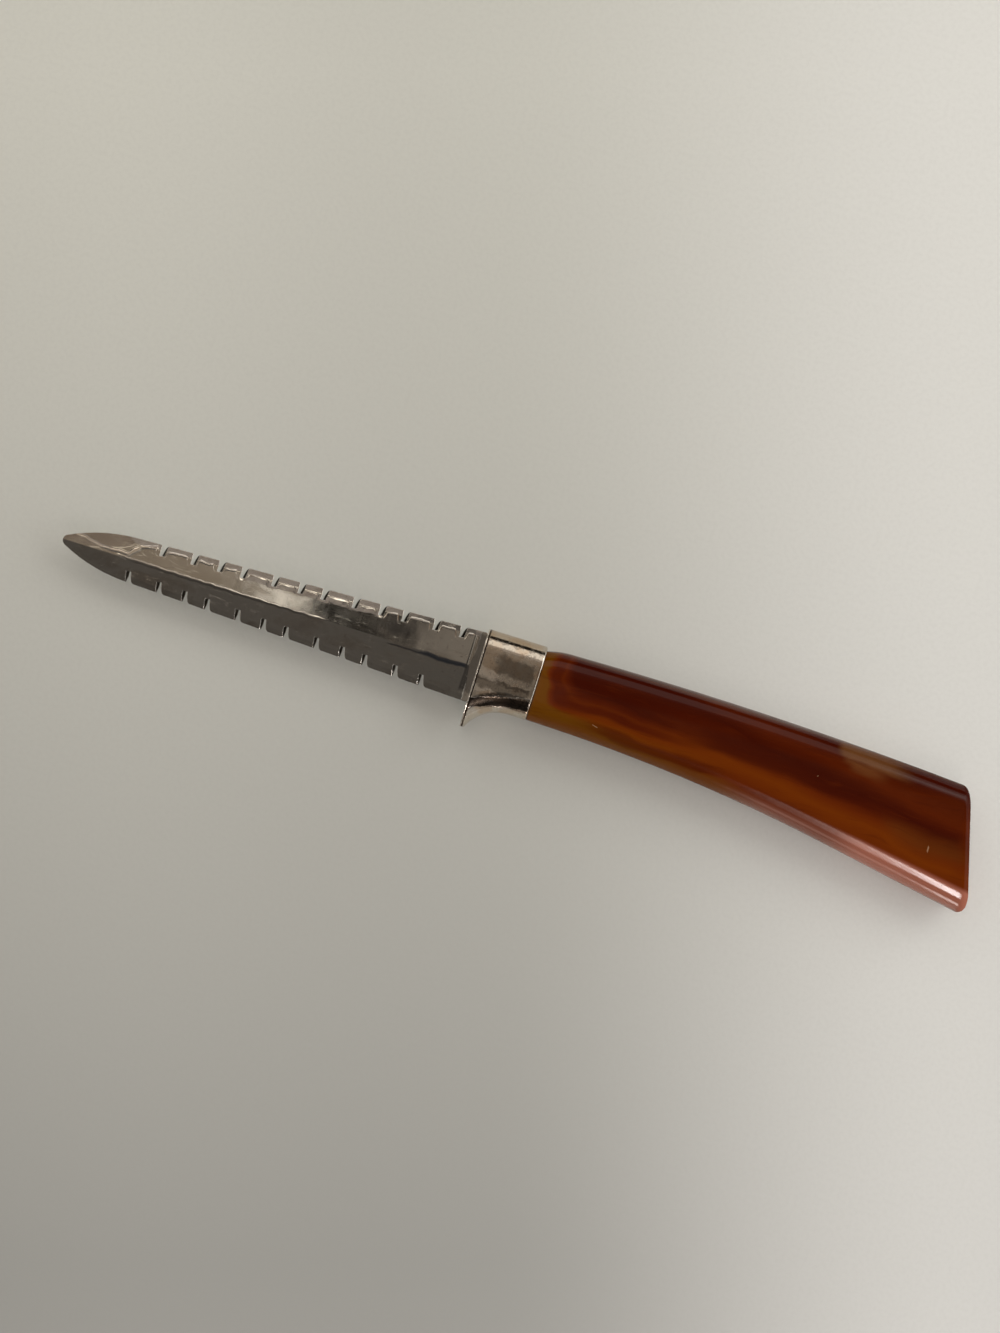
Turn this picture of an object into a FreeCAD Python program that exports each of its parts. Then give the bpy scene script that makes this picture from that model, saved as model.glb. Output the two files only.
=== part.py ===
import FreeCAD, Part
import math
import os
import Sketcher

Vector = FreeCAD.Vector

# Double serrated utility knife: a notched and ground blade, a cast bolster with a finger
# guard, and a cast resin handle. The three are drawn in one frame: X runs along the knife
# from tip to butt with 0 at the front face of the bolster, Y across it with the guard
# towards -Y, and Z through it with 0 at mid thickness. At the end they are laid down.

# Driving sizes, in millimetres and degrees
sizes = [
    ("blade_length", 107.7, "front face of the bolster to the tip"),
    ("blade_stock", 1.5, "thickness of the plate that the blade and tang are stamped from"),
    ("root_width", 18.0, "width of the blade at the bolster"),
    ("front_width", 11.2, "width of the blade where the straight edges end"),
    ("tip_length", 17.5, "end of the straight edges to the tip"),
    ("nose_radius", 1.5, "rounding of the tip seen from above"),
    ("heel_radius", 0.6, "rounding of the two corners beside the bolster"),
    ("ricasso_length", 1.6, "strip left at full thickness beside the bolster"),
    ("ridge_root", 1.4, "thickness over the centre ridge at the bolster"),
    ("ridge_tip", 1.08, "thickness over the centre ridge at the tip"),
    ("facet_angle", 2.3, "fall of each ground facet from the ridge"),
    ("edge_thickness", 0.24, "thickness left at the teeth"),
    ("bevel_angle", 11.0, "fall of the bevel along the teeth"),
    ("tip_bevel_angle", 6.6, "fall of the wider bevel at the tip"),
    ("tip_bevel_length", 14.6, "length of the bevel at the tip before its run-out"),
    ("tip_bevel_turn", 11.5, "turn of the bevel at the tip towards the point"),
    ("tip_bevel_foot", 5.35, "half width at which the bevel at the tip starts"),
    ("wheel_radius", 4.5, "radius of the grinding wheel at the bolster end"),
    ("wheel_run", 1.4, "run-out of that wheel"),
    ("tip_wheel_radius", 48.0, "radius of the wheel that grinds the tip"),
    ("tip_wheel_run", 5.4, "run-out of that wheel"),
    ("notch_depth", 2.75, "depth of a notch from the edge"),
    ("notch_floor", 1.2, "width of a notch at its floor"),
    ("notch_lean", 5.0, "lean of the wall on the tip side"),
    ("notch_flare", 12.0, "lean of the wall on the handle side"),
    ("tooth_round", 0.65, "how far the rounding of the tooth after a notch reaches"),
    ("tooth_radius", 0.85, "radius of that rounding"),
    ("notch_tilt", 40.0, "slant of the notches through the thickness"),
    ("pitch_long", 8.0, "first notch to second"),
    ("pitch_middle", 6.8, "second notch to third"),
    ("pitch_short", 5.9, "third notch to the first of the next group"),
    ("notch_margin", 3.0, "least plain edge between the bolster and a notch"),
    ("back_notch_start", 24.2, "tip to the first notch on the edge away from the guard"),
    ("guard_notch_start", 18.2, "tip to the first notch on the edge beside the guard"),
    ("tang_width", 10.0, "width of the tang inside the bolster"),
    ("tang_end_width", 6.5, "width of the tang at its end"),
    ("tang_length", 78.0, "front face of the bolster to the end of the tang"),
    ("tang_corner", 1.5, "rounding of the end of the tang"),
    ("tang_clearance", 0.12, "gap round the tang, filled by a film of cement"),
    ("grip_thickness", 12.0, "thickness of the bolster and handle"),
    ("long_round", 5.2, "rounding along the long edges of the bolster and handle"),
    ("bolster_length", 15.2, "front face to rear face of the bolster"),
    ("bolster_top", 10.05, "blade axis to the top edge of the bolster"),
    ("bolster_bottom", 8.9, "blade axis to the bottom edge of the bolster"),
    ("guard_drop", 15.0, "blade axis to the point of the finger guard"),
    ("guard_tip", 1.1, "width of the finger guard at its point"),
    ("scoop_length", 10.6, "front face to where the scoop meets the bottom edge"),
    ("scoop_radius", 10.4, "hollow of the scoop behind the guard"),
    ("rim_round", 0.45, "rounding of the rear rim of the bolster"),
    ("ferrule_top", 8.95, "blade axis to the top edge of the handle at the bolster"),
    ("ferrule_bottom", 8.8, "blade axis to the bottom edge of the handle at the bolster"),
    ("shoulder_length", 5.8, "length of the quick rise behind the bolster"),
    ("shoulder_top", 10.0, "blade axis to the end of that rise"),
    ("back_radius", 1124.0, "bow of the top edge of the handle"),
    ("handle_length", 118.0, "bolster to the bottom corner of the butt"),
    ("butt_slant", 8.7, "how far the top corner of the butt stands back"),
    ("butt_top", 8.0, "blade axis to the top corner of the butt"),
    ("belly_radius", 470.0, "bow of the bottom edge of the handle"),
    ("belly_length", 79.8, "length of that bow"),
    ("butt_drop", 23.05, "blade axis to the bottom corner of the butt"),
    ("butt_round", 1.8, "rounding round the flat end of the handle"),
]

doc = FreeCAD.newDocument("knife")
sheet = doc.addObject("Spreadsheet::Sheet", "Sizes")
for row, (alias, number, note) in enumerate(sizes, start=1):
    sheet.set("A%d" % row, note)
    sheet.set("B%d" % row, str(number))
    sheet.setAlias("B%d" % row, alias)
doc.recompute()


# Sketch helpers

def value(expression):
    return float(sheet.evalExpression(expression))


def sketch_on(body, name, role, offset=None):
    sketch = body.newObject("Sketcher::SketchObject", name)
    plane = [item for item in body.Origin.OriginFeatures if item.Role == role][0]
    sketch.AttachmentSupport = [(plane, "")]
    sketch.MapMode = "FlatFace"
    if offset:
        sketch.setExpression("AttachmentOffset", offset)
    doc.recompute()
    return sketch


def vertex_at(sketch, segment, point):
    # The end of a segment (1 or 2) that lies at a point: an arc may run either way.
    near = sketch.getPoint(segment, 1).distanceToPoint(point)
    far = sketch.getPoint(segment, 2).distanceToPoint(point)
    return 1 if near < far else 2


def fix(sketch, kind, segment, end, expression):
    number = value(expression)
    index = sketch.addConstraint(Sketcher.Constraint(kind, -1, 1, segment, end, number))
    sketch.setExpression("Constraints[%d]" % index, expression)


def fix_radius(sketch, segment, expression):
    number = value(expression)
    index = sketch.addConstraint(Sketcher.Constraint("Radius", segment, number))
    sketch.setExpression("Constraints[%d]" % index, expression)


def arc_through(start, end, radius, bulge):
    # A shallow arc between two points. It bulges to the left of the way from start to
    # end for a bulge of 1, and to the right for -1.
    chord = end - start
    half = chord.Length / 2
    rise = radius - math.sqrt(max(radius ** 2 - half ** 2, 0))
    left = Vector(-chord.y, chord.x, 0).normalize()
    return Part.Arc(start, (start + end) / 2 + left * (rise * bulge), end)


def outline(sketch, corners, arcs, smooth):
    # One closed loop. Each corner is a pair of expressions. A segment that starts at a
    # corner named in arcs is an arc of that radius and bulge, and the rest are straight.
    # smooth holds the corners where two segments run on into each other: there either the
    # height or a radius is only a first guess, and the sketch finds it.
    points = [Vector(value(across), value(up), 0) for across, up in corners]
    segments = []
    for i, start in enumerate(points):
        end = points[(i + 1) % len(points)]
        if i in arcs:
            radius, bulge = arcs[i]
            curve = arc_through(start, end, value(radius), bulge)
        else:
            curve = Part.LineSegment(start, end)
        segments.append(sketch.addGeometry(curve))
    for i, (across, up) in enumerate(corners):
        here = vertex_at(sketch, segments[i], points[i])
        before = vertex_at(sketch, segments[i - 1], points[i])
        kind = "Tangent" if i in smooth else "Coincident"
        sketch.addConstraint(
            Sketcher.Constraint(kind, segments[i - 1], before, segments[i], here))
        fix(sketch, "DistanceX", segments[i], here, across)
        if smooth.get(i) != "height":
            fix(sketch, "DistanceY", segments[i], here, up)
    for i, (radius, bulge) in arcs.items():
        if smooth.get(i) != "radius":
            fix_radius(sketch, segments[i], radius)
    doc.recompute()


# Feature helpers

def pad_both_ways(body, name, sketch, thickness):
    pad = body.newObject("PartDesign::Pad", name)
    pad.Profile = sketch
    pad.SideType = "Symmetric"
    pad.setExpression("Length", thickness)
    doc.recompute()


def pocket(body, name, sketch, length, both_ways=False, reverse=False, direction=None):
    cut = body.newObject("PartDesign::Pocket", name)
    cut.Profile = sketch
    cut.SideType = "Symmetric" if both_ways else "One side"
    cut.Type = "Length"
    cut.Reversed = reverse
    cut.setExpression("Length", length)
    if direction:
        cut.UseCustomVector = True
        cut.Direction = direction
    before = cut.BaseFeature.Shape.Volume
    doc.recompute()
    if not cut.Shape.Volume < before:
        raise RuntimeError(name + " removes nothing")
    return cut


def edges_where(feature, wanted):
    shape = feature.Shape
    return ["Edge%d" % (i + 1) for i, edge in enumerate(shape.Edges) if wanted(edge)]


def round_edges(body, name, wanted, radius):
    base = body.Tip
    fillet = body.newObject("PartDesign::Fillet", name)
    fillet.Base = (base, edges_where(base, wanted))
    fillet.setExpression("Radius", radius)
    doc.recompute()


def middle(edge):
    return edge.valueAt((edge.FirstParameter + edge.LastParameter) / 2)


# Blade and tang, stamped in one piece

edge_turn = ("atan((Sizes.root_width - Sizes.front_width) / 2"
             " / (Sizes.blade_length - Sizes.tip_length))")
ridge_turn = "atan((Sizes.ridge_root - Sizes.ridge_tip) / 2 / Sizes.blade_length)"


def flank_radius():
    # The circle that leaves the straight edge smoothly and closes on the nose circle.
    turn = math.radians(value(edge_turn))
    foot = Vector(value("Sizes.tip_length - Sizes.blade_length"), value("Sizes.front_width / 2"), 0)
    nose_radius = value("Sizes.nose_radius")
    nose = Vector(nose_radius - value("Sizes.blade_length"), 0, 0)
    inward = Vector(math.sin(turn), -math.cos(turn), 0)
    gap = foot - nose
    radius = (nose_radius ** 2 - gap.dot(gap)) / (2 * (inward.dot(gap) + nose_radius))
    return foot, foot + inward * radius, radius, nose, nose_radius


def blade_outline(sketch):
    foot, centre, radius, nose, nose_radius = flank_radius()
    touch = nose + (nose - centre).normalize() * nose_radius
    bow = centre + ((foot + touch) / 2 - centre).normalize() * radius
    root = Vector(0, value("Sizes.root_width") / 2, 0)
    neck = Vector(0, value("Sizes.tang_width") / 2, 0)
    tail = Vector(value("Sizes.tang_length"), value("Sizes.tang_end_width") / 2, 0)
    tip = nose - Vector(nose_radius, 0, 0)

    def low(point):
        return Vector(point.x, -point.y, 0)

    path = [tail, neck, root, foot, touch, low(touch), low(foot), low(root), low(neck), low(tail)]
    curves = {3: bow, 4: tip, 5: low(bow)}
    segments = []
    for i, start in enumerate(path):
        end = path[(i + 1) % len(path)]
        if i in curves:
            segments.append(sketch.addGeometry(Part.Arc(start, curves[i], end)))
        else:
            segments.append(sketch.addGeometry(Part.LineSegment(start, end)))
    for i, point in enumerate(path):
        here = vertex_at(sketch, segments[i], point)
        before = vertex_at(sketch, segments[i - 1], point)
        smooth = i in (3, 4, 5, 6)
        kind = "Tangent" if smooth else "Coincident"
        sketch.addConstraint(
            Sketcher.Constraint(kind, segments[i - 1], before, segments[i], here))
    sketch.addConstraint(Sketcher.Constraint("PointOnObject", segments[4], 3, -1))
    fix(sketch, "DistanceX", segments[4], 3, "Sizes.nose_radius - Sizes.blade_length")
    fix_radius(sketch, segments[4], "Sizes.nose_radius")
    corners = [
        (0, "Sizes.tang_length", "Sizes.tang_end_width / 2"),
        (1, "0", "Sizes.tang_width / 2"),
        (2, "0", "Sizes.root_width / 2"),
        (7, "0", "-Sizes.root_width / 2"),
        (8, "0", "-Sizes.tang_width / 2"),
        (9, "Sizes.tang_length", "-Sizes.tang_end_width / 2"),
    ]
    for i, across, up in corners:
        fix(sketch, "DistanceX", segments[i], 1, across)
        fix(sketch, "DistanceY", segments[i], 1, up)
    fix(sketch, "DistanceX", segments[2], 2, "-(Sizes.blade_length - Sizes.tip_length)")
    fix(sketch, "DistanceY", segments[2], 2, "Sizes.front_width / 2")
    fix(sketch, "DistanceX", segments[6], 1, "-(Sizes.blade_length - Sizes.tip_length)")
    fix(sketch, "DistanceY", segments[6], 1, "-Sizes.front_width / 2")
    doc.recompute()


def grind(body, name, side, face, place, turns, start, length, wheel, run):
    # A flat ground by a wheel. The sketch looks across the blade: its base line lies in
    # the ground flat, which ends near the handle in the curve of the wheel. place and
    # turns set that line on one side and one face of the blade. The cut runs both ways,
    # because past the ridge the flat rises clear of the blade.
    x, y, z = place
    turn, fall, roll = turns
    spot = "vector(%s; %d * (%s); %d * (%s))" % (x, face, z, -side, y)
    angles = "rotation(%d * %s; %d * %s; %d * %s)" % (
        face, fall, side, turn, -side * face, roll)
    sketch = sketch_on(body, name + "_path", "XZ_Plane", "placement(%s; %s)" % (spot, angles))
    clear = "%d * Sizes.blade_stock" % (2 * face)
    rise = "%d * (%s - sqrt(%s ^ 2 - %s ^ 2))" % (face, wheel, wheel, run)
    far = "-(%s + %s)" % (start, length)
    heel = "%s - %s" % (run, start)
    corners = [
        ("-" + start, "0"),
        (heel, rise),
        (heel, clear),
        (far, clear),
        (far, "0"),
    ]
    outline(sketch, corners, {0: (wheel, -face)}, {})
    pocket(body, name, sketch, "2 * Sizes.root_width", both_ways=True)


def cut_notches(body, name, side, from_tip):
    # Three notches at their three pitches, repeated for as long as the edge has room. The
    # sketch lies along the edge, with Y pointing out of it. The blade was turned over
    # between its two edges, so the slant of the cutter changes sign with the side.
    first = "(Sizes.blade_length - %s)" % from_tip
    group = "(Sizes.pitch_long + Sizes.pitch_middle + Sizes.pitch_short)"
    room = "(%s + Sizes.pitch_short - Sizes.notch_margin)" % first
    offset = "placement(vector(0; %d * Sizes.root_width / 2; 0); rotation(%d * %s; 0; 0))" % (
        side, side, edge_turn)
    sketch = sketch_on(body, name + "_shape", "XY_Plane", offset)
    starts = [
        "(-%s)" % first,
        "(Sizes.pitch_long - %s)" % first,
        "(Sizes.pitch_long + Sizes.pitch_middle - %s)" % first,
    ]
    for start in starts:
        tip_wall = start + " - Sizes.notch_floor / 2"
        tip_mouth = tip_wall + " + 2 * Sizes.notch_depth * tan(Sizes.notch_lean)"
        wall = start + " + Sizes.notch_floor / 2"
        tooth = wall + " + (Sizes.notch_depth - Sizes.tooth_round) * tan(Sizes.notch_flare)"
        corners = [
            (tip_mouth, "%d * Sizes.notch_depth" % side),
            (tip_wall, "%d * Sizes.notch_depth" % -side),
            (wall, "%d * Sizes.notch_depth" % -side),
            (tooth, "%d * Sizes.tooth_round" % -side),
            (tooth + " + Sizes.tooth_round", "0"),
            (tooth + " + Sizes.tooth_round", "%d * Sizes.notch_depth" % side),
        ]
        outline(sketch, corners, {3: ("Sizes.tooth_radius", side)}, {})
    tilt = math.radians(value("Sizes.notch_tilt"))
    turn = math.radians(value(edge_turn))
    along = Vector(math.cos(turn), side * math.sin(turn), 0)
    slant = along * (side * math.sin(tilt)) + Vector(0, 0, math.cos(tilt))
    cut = pocket(body, name, sketch, "4 * Sizes.blade_stock", both_ways=True, direction=slant)
    rows = body.newObject("PartDesign::LinearPattern", name + "_row")
    rows.Originals = [cut]
    rows.Direction = (sketch, ["H_Axis"])
    rows.Mode = "Spacing"
    rows.setExpression("Offset", group)
    rows.setExpression("Occurrences", "floor(%s / %s)" % (room, group))
    body.Tip = rows
    doc.recompute()
    if not rows.Shape.Volume < cut.Shape.Volume:
        raise RuntimeError(name + " is not repeated")


def make_blade():
    body = doc.addObject("PartDesign::Body", "blade")
    sketch = sketch_on(body, "blade_outline", "XY_Plane")
    blade_outline(sketch)
    pad_both_ways(body, "blade_plate", sketch, "Sizes.blade_stock")
    half_root = value("Sizes.root_width") / 2
    tang_end = value("Sizes.tang_length")
    round_edges(body, "heel_corners",
                lambda edge: abs(abs(middle(edge).y) - half_root) < 0.01
                and abs(middle(edge).x) < 0.01,
                "Sizes.heel_radius")
    round_edges(body, "tang_corners",
                lambda edge: abs(middle(edge).x - tang_end) < 0.01
                and abs(middle(edge).z) < 0.01 and abs(middle(edge).y) > 0.01,
                "Sizes.tang_corner")
    heel = "(Sizes.ricasso_length + Sizes.wheel_run)"
    for side, edge_name in ((1, "back"), (-1, "guard")):
        for face, face_name in ((1, "upper"), (-1, "lower")):
            where = "_%s_%s" % (edge_name, face_name)
            grind(body, "facet" + where, side, face,
                  ("0", "0", "Sizes.ridge_root / 2"),
                  ("0", ridge_turn, "Sizes.facet_angle"),
                  heel, "Sizes.blade_length", "Sizes.wheel_radius", "Sizes.wheel_run")
            grind(body, "bevel" + where, side, face,
                  ("0", "Sizes.root_width / 2", "Sizes.edge_thickness / 2"),
                  (edge_turn, "0", "Sizes.bevel_angle"),
                  heel, "Sizes.blade_length", "Sizes.wheel_radius", "Sizes.wheel_run")
            grind(body, "tip_bevel" + where, side, face,
                  ("Sizes.tip_bevel_length - Sizes.blade_length",
                   "Sizes.tip_bevel_foot", "Sizes.edge_thickness / 2"),
                  ("Sizes.tip_bevel_turn", "0", "Sizes.tip_bevel_angle"),
                  "0", "2 * Sizes.tip_bevel_length",
                  "Sizes.tip_wheel_radius", "Sizes.tip_wheel_run")
    cut_notches(body, "back_notches", 1, "Sizes.back_notch_start")
    cut_notches(body, "guard_notches", -1, "Sizes.guard_notch_start")
    return body


# Bolster, cast with its finger guard and bored through for the tang

def make_bolster():
    body = doc.addObject("PartDesign::Body", "bolster")
    sketch = sketch_on(body, "bolster_outline", "XY_Plane")
    corners = [
        ("0", "Sizes.bolster_top"),
        ("0", "-Sizes.guard_drop"),
        ("Sizes.guard_tip", "-Sizes.guard_drop"),
        ("Sizes.scoop_length", "-Sizes.bolster_bottom"),
        ("Sizes.bolster_length", "-Sizes.bolster_bottom"),
        ("Sizes.bolster_length", "Sizes.bolster_top"),
    ]
    outline(sketch, corners, {2: ("Sizes.scoop_radius", 1)}, {})
    pad_both_ways(body, "bolster_block", sketch, "Sizes.grip_thickness")
    half = value("Sizes.grip_thickness") / 2
    top = value("Sizes.bolster_top")
    tip = value("Sizes.guard_drop")
    rear = value("Sizes.bolster_length")

    def long_edge(edge):
        point = middle(edge)
        on_face = abs(abs(point.z) - half) < 0.01
        above = abs(point.y - top) < 0.01
        below = point.y < -value("Sizes.bolster_bottom") + 0.01 and point.y > 0.01 - tip
        return on_face and (above or below) and 0.01 < point.x < rear - 0.01

    round_edges(body, "long_edges", long_edge, "Sizes.long_round")
    round_edges(body, "rear_rim",
                lambda edge: edge.BoundBox.XMin > rear - 0.001, "Sizes.rim_round")
    slot = sketch_on(body, "tang_slot_shape", "YZ_Plane")
    across = "(Sizes.tang_width / 2 + Sizes.tang_clearance)"
    up = "(Sizes.blade_stock / 2 + Sizes.tang_clearance)"
    corners = [(across, up), ("-" + across, up), ("-" + across, "-" + up), (across, "-" + up)]
    outline(slot, corners, {}, {})
    pocket(body, "tang_slot", slot, "Sizes.bolster_length", reverse=True)
    return body


# Handle, cast in one piece with a blind socket for the tang

def make_handle():
    body = doc.addObject("PartDesign::Body", "handle")
    sketch = sketch_on(body, "handle_outline", "XY_Plane")
    butt_low_reach = "Sizes.bolster_length + Sizes.handle_length"
    butt_high_reach = butt_low_reach + " - Sizes.butt_slant"
    corners = [
        ("Sizes.bolster_length", "Sizes.ferrule_top"),
        ("Sizes.bolster_length", "-Sizes.ferrule_bottom"),
        ("Sizes.bolster_length + Sizes.belly_length",
         "-(Sizes.ferrule_bottom + Sizes.butt_drop) / 2"),
        (butt_low_reach, "-Sizes.butt_drop"),
        (butt_high_reach, "Sizes.butt_top"),
        ("Sizes.bolster_length + Sizes.shoulder_length", "Sizes.shoulder_top"),
    ]
    curves = {
        1: ("Sizes.belly_radius", 1),
        4: ("Sizes.back_radius", -1),
        5: ("2 * Sizes.shoulder_length", -1),
    }
    outline(sketch, corners, curves, {2: "height", 5: "radius"})
    pad_both_ways(body, "handle_block", sketch, "Sizes.grip_thickness")
    half = value("Sizes.grip_thickness") / 2
    front = value("Sizes.bolster_length")

    def long_edge(edge):
        box = edge.BoundBox
        on_face = abs(abs(middle(edge).z) - half) < 0.01
        return on_face and box.XLength > 0.9 * box.YLength and box.XMax > front + 0.1

    round_edges(body, "long_edges", long_edge, "Sizes.long_round")
    butt_low = Vector(value(butt_low_reach), -value("Sizes.butt_drop"), 0)
    butt_high = Vector(value(butt_high_reach), value("Sizes.butt_top"), 0)
    across = (butt_high - butt_low).normalize()
    outward = Vector(across.y, -across.x, 0)

    def butt_edge(edge):
        ends = [edge.valueAt(edge.FirstParameter), middle(edge), edge.valueAt(edge.LastParameter)]
        return all(abs((point - butt_low).dot(outward)) < 0.001 for point in ends)

    round_edges(body, "butt_rim", butt_edge, "Sizes.butt_round")
    socket = sketch_on(body, "tang_socket_shape", "XY_Plane")
    wide = "(Sizes.tang_width / 2 + Sizes.tang_clearance)"
    narrow = "(Sizes.tang_end_width / 2 + Sizes.tang_clearance)"
    deep = "Sizes.tang_length + Sizes.tang_clearance"
    corners = [("0", wide), ("0", "-" + wide), (deep, "-" + narrow), (deep, narrow)]
    outline(socket, corners, {}, {})
    pocket(body, "tang_socket", socket, "Sizes.blade_stock + 2 * Sizes.tang_clearance",
           both_ways=True)
    return body


def check(bodies):
    for item in doc.Objects:
        if "Invalid" in item.State or "Error" in item.State:
            raise RuntimeError(item.Label + " has failed")
    for body in bodies:
        if body.Shape.isNull() or not body.Shape.isValid() or len(body.Shape.Solids) != 1:
            raise RuntimeError(body.Label + " is not one sound solid")


# Laid down to rest: on the flat of the handle and bolster, centred over the origin

bodies = [make_blade(), make_bolster(), make_handle()]
check(bodies)
whole = Part.makeCompound([body.Shape for body in bodies]).optimalBoundingBox(False, False)
rest = Vector(-whole.Center.x, -whole.Center.y, -whole.ZMin)
for body in bodies:
    body.Placement = FreeCAD.Placement(rest, FreeCAD.Rotation())
doc.recompute()
check(bodies)

os.makedirs("parts", exist_ok=True)
for body in bodies:
    body.Shape.exportStep("parts/%s.step" % body.Label)
    box = body.Shape.optimalBoundingBox(False, False)
    print(body.Label, round(body.Shape.Volume, 2), box)
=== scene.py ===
import math
import bpy
import bmesh
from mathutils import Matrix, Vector


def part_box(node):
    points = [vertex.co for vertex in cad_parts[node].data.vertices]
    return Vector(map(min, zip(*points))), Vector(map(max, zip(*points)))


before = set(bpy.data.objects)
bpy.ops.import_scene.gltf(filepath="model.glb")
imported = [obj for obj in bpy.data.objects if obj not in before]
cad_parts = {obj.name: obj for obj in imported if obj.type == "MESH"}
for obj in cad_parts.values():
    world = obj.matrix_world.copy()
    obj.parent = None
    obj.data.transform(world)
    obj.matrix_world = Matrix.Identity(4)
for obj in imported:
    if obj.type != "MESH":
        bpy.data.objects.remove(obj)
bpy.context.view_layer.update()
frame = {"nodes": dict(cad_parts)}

print("frame loaded:", ", ".join(frame["nodes"]))

# The camera looks straight down, and the knife lies turned in the picture

view = {
    "turn": 17.3,            # degrees that the knife falls to the right
    "pixelsPerMetre": 4030,
    "width": 1000,           # the picture is taken as 1000 x 1333
    "centre": (-0.0072, 0.0080),
    "height": 0.42,          # lens above mid thickness
    "sensor": 36.0,
    "nearest": 0.01,
}

perMetre = 1000              # the materials work in millimetres


def makeCamera():
    low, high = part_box("blade")
    midHeight = (low[2] + high[2]) / 2
    frameWidth = view["width"] / view["pixelsPerMetre"]
    data = bpy.data.cameras.new("camera")
    data.sensor_fit = "HORIZONTAL"
    data.sensor_width = view["sensor"]
    data.lens = view["sensor"] * view["height"] / frameWidth
    data.clip_start = view["nearest"]
    camera = bpy.data.objects.new("camera", data)
    camera.location = (*view["centre"], midHeight + view["height"])
    camera.rotation_euler = (0, 0, math.radians(view["turn"]))
    bpy.context.collection.objects.link(camera)
    bpy.context.scene.camera = camera
    bpy.context.scene.view_settings.view_transform = "Standard"
    print("camera set,", round(data.lens, 1), "mm lens")


# Node helpers

def newMaterial(name):
    material = bpy.data.materials.new(name)
    material.use_nodes = True
    tree = material.node_tree
    return material, tree, tree.nodes["Principled BSDF"]


def addNode(tree, kind, inputs=None, **settings):
    node = tree.nodes.new(kind)
    for name, setting in settings.items():
        setattr(node, name, setting)
    for name, source in (inputs or {}).items():
        socket = node.inputs[name]
        if isinstance(source, bpy.types.NodeSocket):
            tree.links.new(source, socket)
        else:
            socket.default_value = source
    return node


def maths(tree, operation, first, second=0.0, third=0.0):
    node = addNode(tree, "ShaderNodeMath", {0: first, 1: second, 2: third},
                   operation=operation)
    return node.outputs[0]


def vectorMaths(tree, operation, first, second, third=(0, 0, 0)):
    node = addNode(tree, "ShaderNodeVectorMath", {0: first, 1: second, 2: third},
                   operation=operation)
    return node.outputs[0]


def axes(tree, vector):
    return addNode(tree, "ShaderNodeSeparateXYZ", {0: vector}).outputs


noiseMiddle = 0.5            # the level that a noise sways round


def noise(tree, vector, scale, detail=3.0, distortion=0.0):
    node = addNode(tree, "ShaderNodeTexNoise", {
        "Vector": vector, "Scale": scale, "Detail": detail, "Distortion": distortion})
    return node.outputs[0]


def smoothStep(tree, source, low, high, toLow=0.0, toHigh=1.0):
    node = addNode(tree, "ShaderNodeMapRange", {
        "Value": source, "From Min": low, "From Max": high,
        "To Min": toLow, "To Max": toHigh}, interpolation_type="SMOOTHSTEP")
    return node.outputs[0]


def mixColour(tree, mask, below, above):
    # In a colour mix, sockets 6 and 7 are its two colours and output 2 is the result
    node = addNode(tree, "ShaderNodeMix", {"Factor": mask, 6: below, 7: above},
                   data_type="RGBA")
    return node.outputs[2]


def stretched(tree, vector, scale, turn=0.0):
    node = addNode(tree, "ShaderNodeMapping", {
        "Vector": vector, "Rotation": (0, 0, math.radians(turn)), "Scale": scale})
    return node.outputs[0]


def millimetres(tree):
    place = addNode(tree, "ShaderNodeTexCoord").outputs["Object"]
    return vectorMaths(tree, "MULTIPLY", place, (perMetre,) * 3)


def strayed(tree, place, reach, scale, detail=2.0):
    # The place, moved by the colours of a noise
    drift = addNode(tree, "ShaderNodeTexNoise", {
        "Vector": place, "Scale": scale, "Detail": detail}).outputs["Color"]
    return vectorMaths(tree, "MULTIPLY_ADD", drift, reach, place)


def roundedNormal(tree, look):
    node = addNode(tree, "ShaderNodeBevel", {"Radius": look["edgeRound"]},
                   samples=look["edgeSamples"])
    return node.outputs[0]


def bump(tree, height, distance, below=None, strength=1.0, invert=False):
    node = addNode(tree, "ShaderNodeBump", {
        "Strength": strength, "Distance": distance, "Height": height}, invert=invert)
    if below is not None:
        tree.links.new(below, node.inputs["Normal"])
    return node.outputs[0]


def newGroup(name, inputs, outputs):
    # inputs and outputs: name -> (socket type, starting value)
    tree = bpy.data.node_groups.new(name, "ShaderNodeTree")
    for side, sockets in (("INPUT", inputs), ("OUTPUT", outputs)):
        for label, (kind, start) in sockets.items():
            socket = tree.interface.new_socket(label, in_out=side, socket_type=kind)
            if start is not None:
                socket.default_value = start
    into = tree.nodes.new("NodeGroupInput")
    out = tree.nodes.new("NodeGroupOutput")
    return tree, into.outputs, out.inputs


def placeGroup(tree, group, inputs):
    return addNode(tree, "ShaderNodeGroup", inputs, node_tree=group).outputs


def useMaterial(node, material):
    piece = frame["nodes"][node]
    piece.data.materials.clear()
    piece.data.materials.append(material)


# Effects that several materials share

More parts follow.
